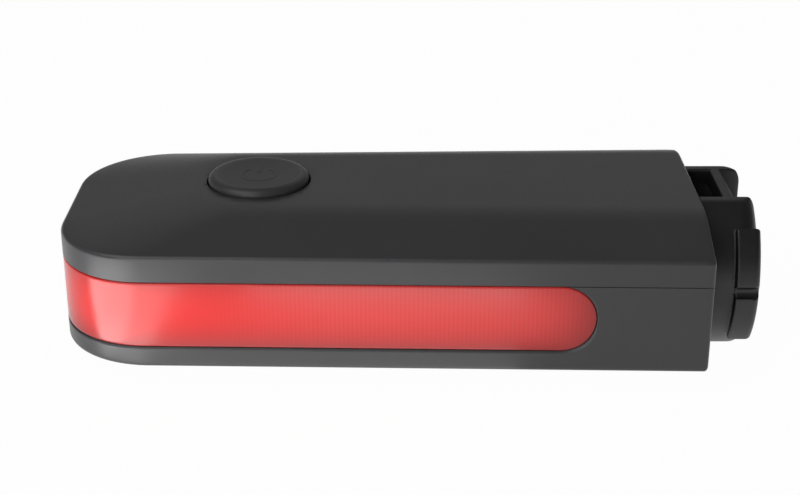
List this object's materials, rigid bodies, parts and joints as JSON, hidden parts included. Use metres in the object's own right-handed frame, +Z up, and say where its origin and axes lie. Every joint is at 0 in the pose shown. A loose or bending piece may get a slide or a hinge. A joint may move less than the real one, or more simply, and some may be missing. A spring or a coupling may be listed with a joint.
{
  "type": "bicycle rear light",
  "caption": "Bicycle rear light: tapered dark housing, red lens wrapped round the tail and both sides, round push button on top, charging flap below and a quarter-turn mount at one end.",
  "frame": {"origin": "on the twist axis of the quarter-turn mount, at the mount's outer face", "axes": "+X along the twist axis, out of the light; +Z up, through the button; the tail is at -X"},
  "size_m": [0.0985, 0.044, 0.0245],
  "materials": {
    "housing_plastic": "fine spark-eroded satin, dark grey",
    "lens_red": "polished translucent red",
    "guide_clear": "milky, fluted",
    "button_plastic": "satin",
    "black_plastic": "moulded",
    "plain_steel": "plain",
    "board_laminate": "solder mask",
    "led_white": "moulded white with a clear window",
    "cell_foil": "laminated foil",
    "foam": "soft foam",
    "lead_insulation": "smooth",
    "silicone": "matt",
    "mount_nylon": "fibre-filled, half gloss, black",
    "brass_insert": "knurled"
  },
  "bodies": {
    "housing": {"top_cover": "housing_plastic", "lower_shell": "housing_plastic", "cover_seal": "silicone", "outer_lens": "lens_red", "light_guide": "guide_clear", "button_gasket": "silicone", "switch_body": "plain_steel", "main_board": "board_laminate", "leds": "led_white", "board_chips": "black_plastic", "battery_cell": "cell_foil", "cell_guard_board": "board_laminate", "battery_pad": "foam", "battery_leads": "lead_insulation", "usb_socket": "plain_steel", "usb_tongue": "black_plastic", "flap_anchor": "silicone", "twist_mount": "mount_nylon", "mount_screws": "plain_steel", "mount_inserts": "brass_insert", "case_screws": "plain_steel", "case_inserts": "brass_insert"},
    "button": {"button": "button_plastic", "switch_plunger": "black_plastic"},
    "flap": {"port_flap": "silicone"}
  },
  "joints": [
    {"name": "button_press", "type": "slide", "parent": "housing", "child": "button", "axis": [0, 0, -1], "range_m": [0, 0.0004], "stiffness_N_per_m": 4000, "springref_m": -0.0001},
    {"name": "flap_swing", "type": "hinge", "parent": "housing", "child": "flap", "pos_m": [-0.01862, 0, -0.01103], "axis": [0, -1, 0], "range_deg": [0, 95]}
  ]
}
